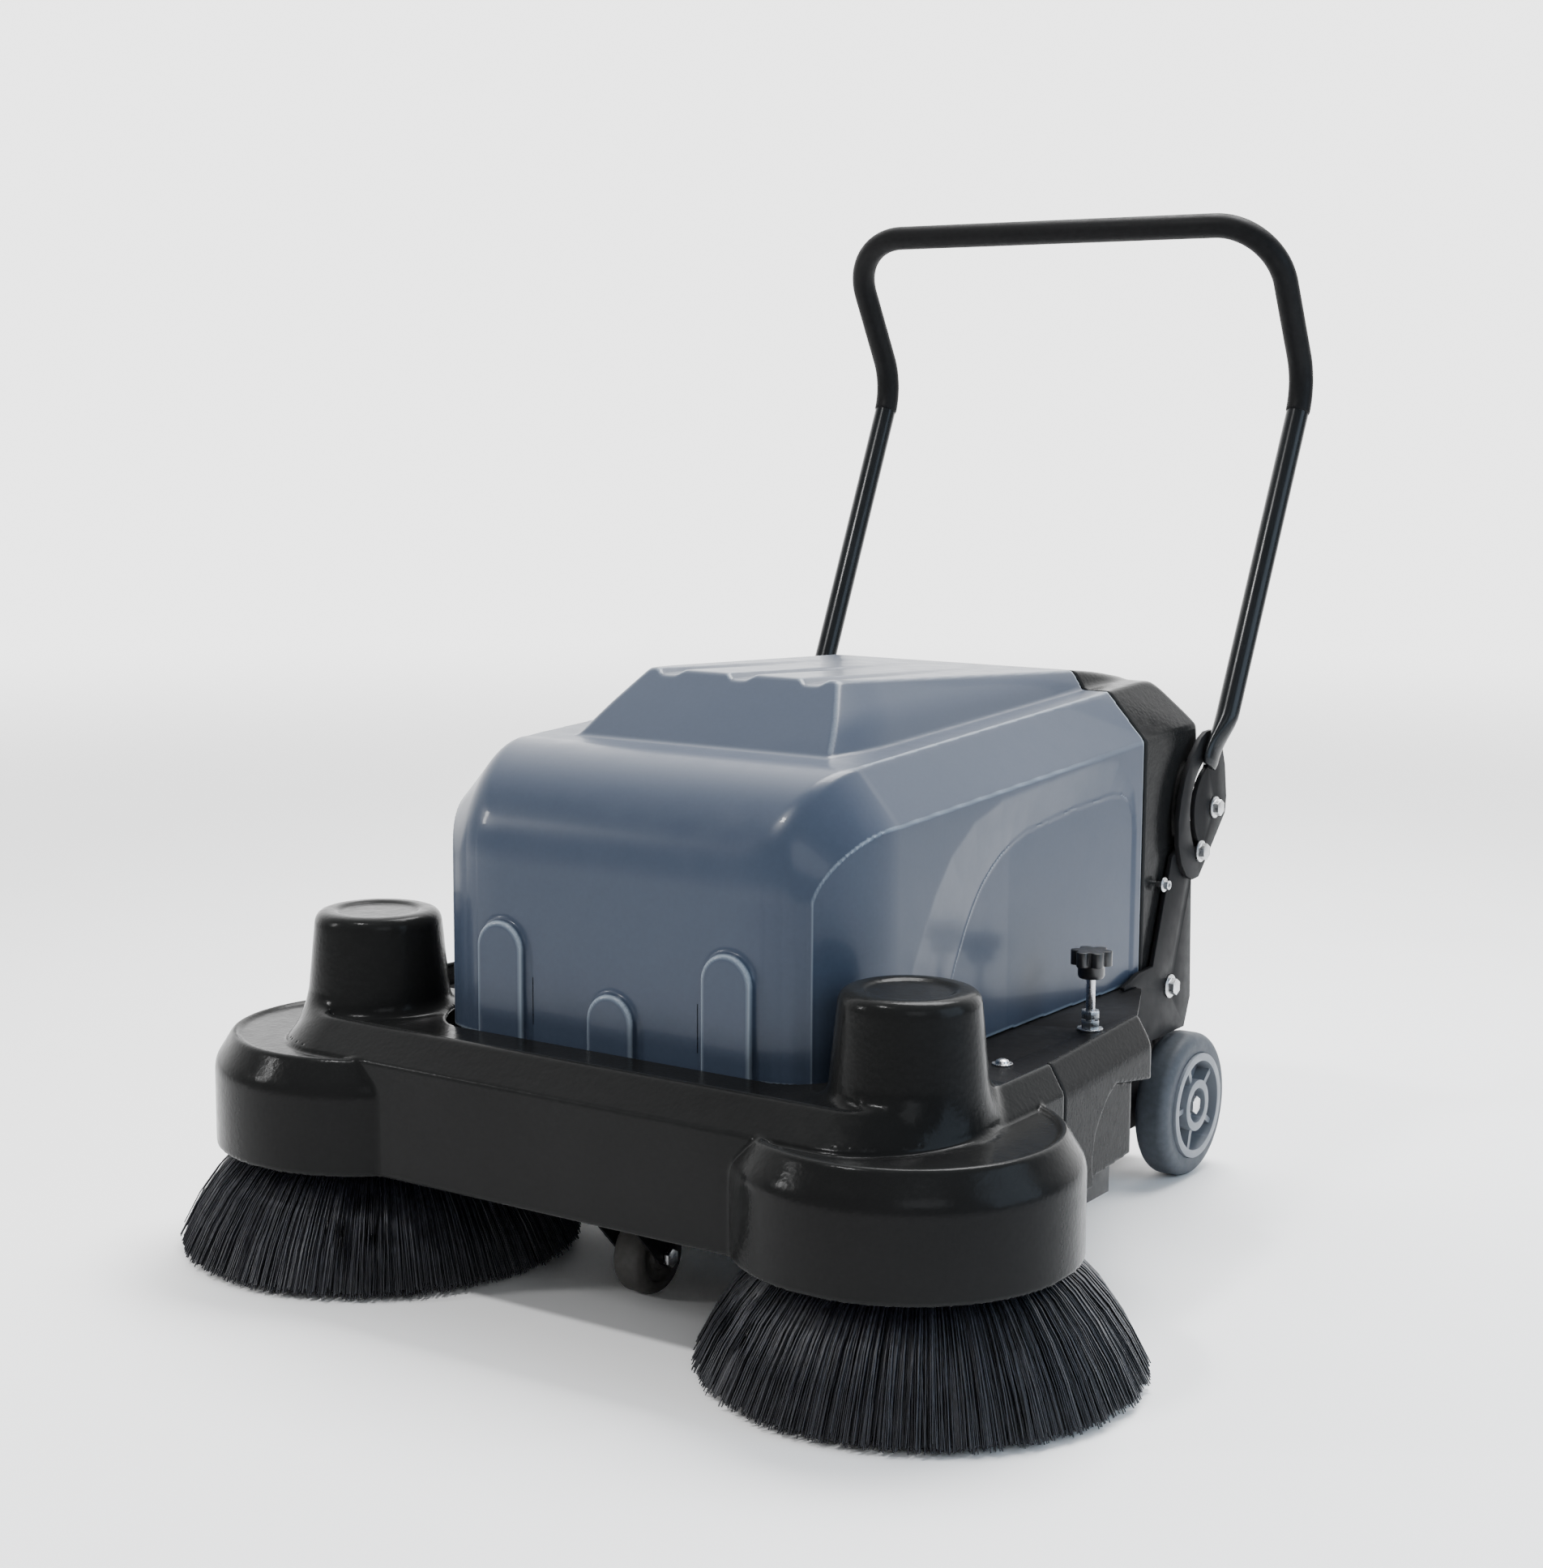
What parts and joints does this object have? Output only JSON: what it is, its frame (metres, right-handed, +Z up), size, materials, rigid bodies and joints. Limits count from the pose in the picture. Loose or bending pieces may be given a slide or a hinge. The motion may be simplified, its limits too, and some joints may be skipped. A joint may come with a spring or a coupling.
{
  "type": "walk behind sweeper",
  "caption": "Battery walk-behind floor sweeper with two side brushes, cylinder brush, tilting hood, folding U-handle, rear hopper, wheels and a front caster.",
  "frame": {"origin": "middle of the footprint's box, on the floor", "axes": "+Z up; -Y is the front with the two side brushes, +Y is the operator's side with the handle; +X is the operator's left"},
  "size_m": [1.048, 1.1167, 1.0616],
  "materials": {
    "hood_plastic": "semi-gloss moulded",
    "black_moulding": "fine textured moulded",
    "black_steel": "satin black paint",
    "dark_steel": "satin dark grey paint",
    "tube_black": "gloss black paint",
    "grip_foam": "matt",
    "zinc": "zinc plated",
    "steel_bar": "turned",
    "bristles": "dense nylon filaments",
    "brush_back": "moulded",
    "tyre_grey": "matt rubber",
    "hub_plastic": "moulded",
    "caster_tyre": "matt",
    "knob_plastic": "moulded",
    "flap_rubber": "matt sheet",
    "motor_case": "satin paint",
    "battery_case": "moulded",
    "aluminium": "extruded",
    "belt_rubber": "matt",
    "filter_paper": "pleated",
    "panel_plastic": "satin",
    "switch_plastic": "gloss",
    "key_metal": "nickel plated"
  },
  "bodies": {
    "base": {"chassis_frame": "black_steel", "front_crossmember": "black_steel", "front_cover": "black_moulding", "side_cover_left": "black_moulding", "side_cover_right": "black_moulding", "side_flaps": "flap_rubber", "side_plate_left": "black_steel", "side_plate_right": "black_steel", "rear_housing": "black_moulding", "control_panel": "panel_plastic", "charge_socket": "panel_plastic", "battery_left": "battery_case", "battery_right": "battery_case", "controller_box": "aluminium", "dust_filter": "filter_paper", "side_gear_motor_left": "motor_case", "side_gear_motor_right": "motor_case", "hood_hinge_brackets": "black_steel", "front_flap": "flap_rubber", "rear_flap": "flap_rubber", "axle_bolt_left": "zinc", "axle_bolt_right": "zinc", "handle_bolts": "zinc", "side_plate_bolts": "zinc", "deck_screws": "zinc", "height_nuts": "zinc"},
    "hood": {"hood": "hood_plastic", "hood_hinge_arms": "black_steel"},
    "handle": {"handle_tube": "tube_black", "handle_grip": "grip_foam", "sector_plate_left": "black_steel", "sector_plate_right": "black_steel"},
    "hopper": {"hopper": "dark_steel", "hopper_handle": "grip_foam"},
    "wheel_left": {"wheel_tyre_left": "tyre_grey", "wheel_hub_left": "hub_plastic"},
    "wheel_right": {"wheel_tyre_right": "tyre_grey", "wheel_hub_right": "hub_plastic"},
    "caster": {"caster_fork": "black_steel", "caster_axle": "zinc"},
    "caster_wheel": {"caster_wheel": "caster_tyre"},
    "brush_carrier": {"brush_carrier": "dark_steel", "main_motor": "motor_case", "drive_belt": "belt_rubber"},
    "roller": {"roller_core": "aluminium", "roller_bristles": "bristles", "roller_pulley": "brush_back"},
    "motor_shaft": {"motor_pulley": "steel_bar"},
    "height_knob": {"height_knob": "knob_plastic", "height_screw": "steel_bar"},
    "side_brush_left": {"side_brush_disc_left": "brush_back", "side_brush_bristles_left": "bristles"},
    "side_brush_right": {"side_brush_disc_right": "brush_back", "side_brush_bristles_right": "bristles"},
    "key": {"key_switch": "key_metal"},
    "rocker_left": {"rocker_switch_left": "switch_plastic"},
    "rocker_right": {"rocker_switch_right": "switch_plastic"}
  },
  "joints": [
    {"name": "handle_fold", "type": "hinge", "parent": "base", "child": "handle", "pos_m": [0, 0.3835, 0.4057], "axis": [1, 0, 0], "range_deg": [0, 80]},
    {"name": "hood_open", "type": "hinge", "parent": "base", "child": "hood", "pos_m": [0, -0.373, 0.262], "axis": [-1, 0, 0], "range_deg": [-60, 0]},
    {"name": "hopper_slide", "type": "slide", "parent": "base", "child": "hopper", "axis": [0, 1, 0], "range_m": [0, 0.3]},
    {"name": "wheel_left_roll", "type": "hinge", "parent": "base", "child": "wheel_left", "pos_m": [0.254, 0.321, 0.08], "axis": [1, 0, 0], "continuous": true},
    {"name": "wheel_right_roll", "type": "hinge", "parent": "base", "child": "wheel_right", "pos_m": [-0.254, 0.321, 0.08], "axis": [1, 0, 0], "continuous": true},
    {"name": "caster_swivel", "type": "hinge", "parent": "base", "child": "caster", "pos_m": [0, -0.364, 0.106], "axis": [0, 0, 1], "continuous": true},
    {"name": "caster_roll", "type": "hinge", "parent": "caster", "child": "caster_wheel", "pos_m": [0, -0.329, 0.038], "axis": [1, 0, 0], "continuous": true},
    {"name": "height_turn", "type": "hinge", "parent": "base", "child": "height_knob", "pos_m": [0.295, 0.013, 0.3], "axis": [0, 0, 1], "range_deg": [0, 1440]},
    {"name": "carrier_lift", "type": "hinge", "parent": "base", "child": "brush_carrier", "pos_m": [0, -0.249, 0.17], "axis": [1, 0, 0], "range_deg": [0, 2.5]},
    {"name": "roller_spin", "type": "hinge", "parent": "brush_carrier", "child": "roller", "pos_m": [0, 0.001, 0.106], "axis": [1, 0, 0], "continuous": true},
    {"name": "motor_spin", "type": "hinge", "parent": "brush_carrier", "child": "motor_shaft", "pos_m": [-0.202, -0.169, 0.17], "axis": [1, 0, 0], "continuous": true},
    {"name": "side_brush_left_spin", "type": "hinge", "parent": "base", "child": "side_brush_left", "pos_m": [0.32, -0.354, 0.14], "axis": [0, 0, 1], "continuous": true},
    {"name": "side_brush_right_spin", "type": "hinge", "parent": "base", "child": "side_brush_right", "pos_m": [-0.32, -0.354, 0.14], "axis": [0, 0, 1], "continuous": true},
    {"name": "key_turn", "type": "hinge", "parent": "base", "child": "key", "pos_m": [-0.062, 0.3553, 0.5245], "axis": [0, 0.8728, 0.4881], "range_deg": [0, 90]},
    {"name": "rocker_left_tip", "type": "hinge", "parent": "base", "child": "rocker_left", "pos_m": [0.022, 0.3553, 0.5245], "axis": [1, 0, 0], "range_deg": [-8, 8]},
    {"name": "rocker_right_tip", "type": "hinge", "parent": "base", "child": "rocker_right", "pos_m": [-0.022, 0.3553, 0.5245], "axis": [1, 0, 0], "range_deg": [-8, 8]}
  ],
  "couplings": [
    {"joint": "height_turn", "follows": "carrier_lift", "ratio": 576},
    {"joint": "motor_spin", "follows": "roller_spin", "ratio": 2.25}
  ]
}
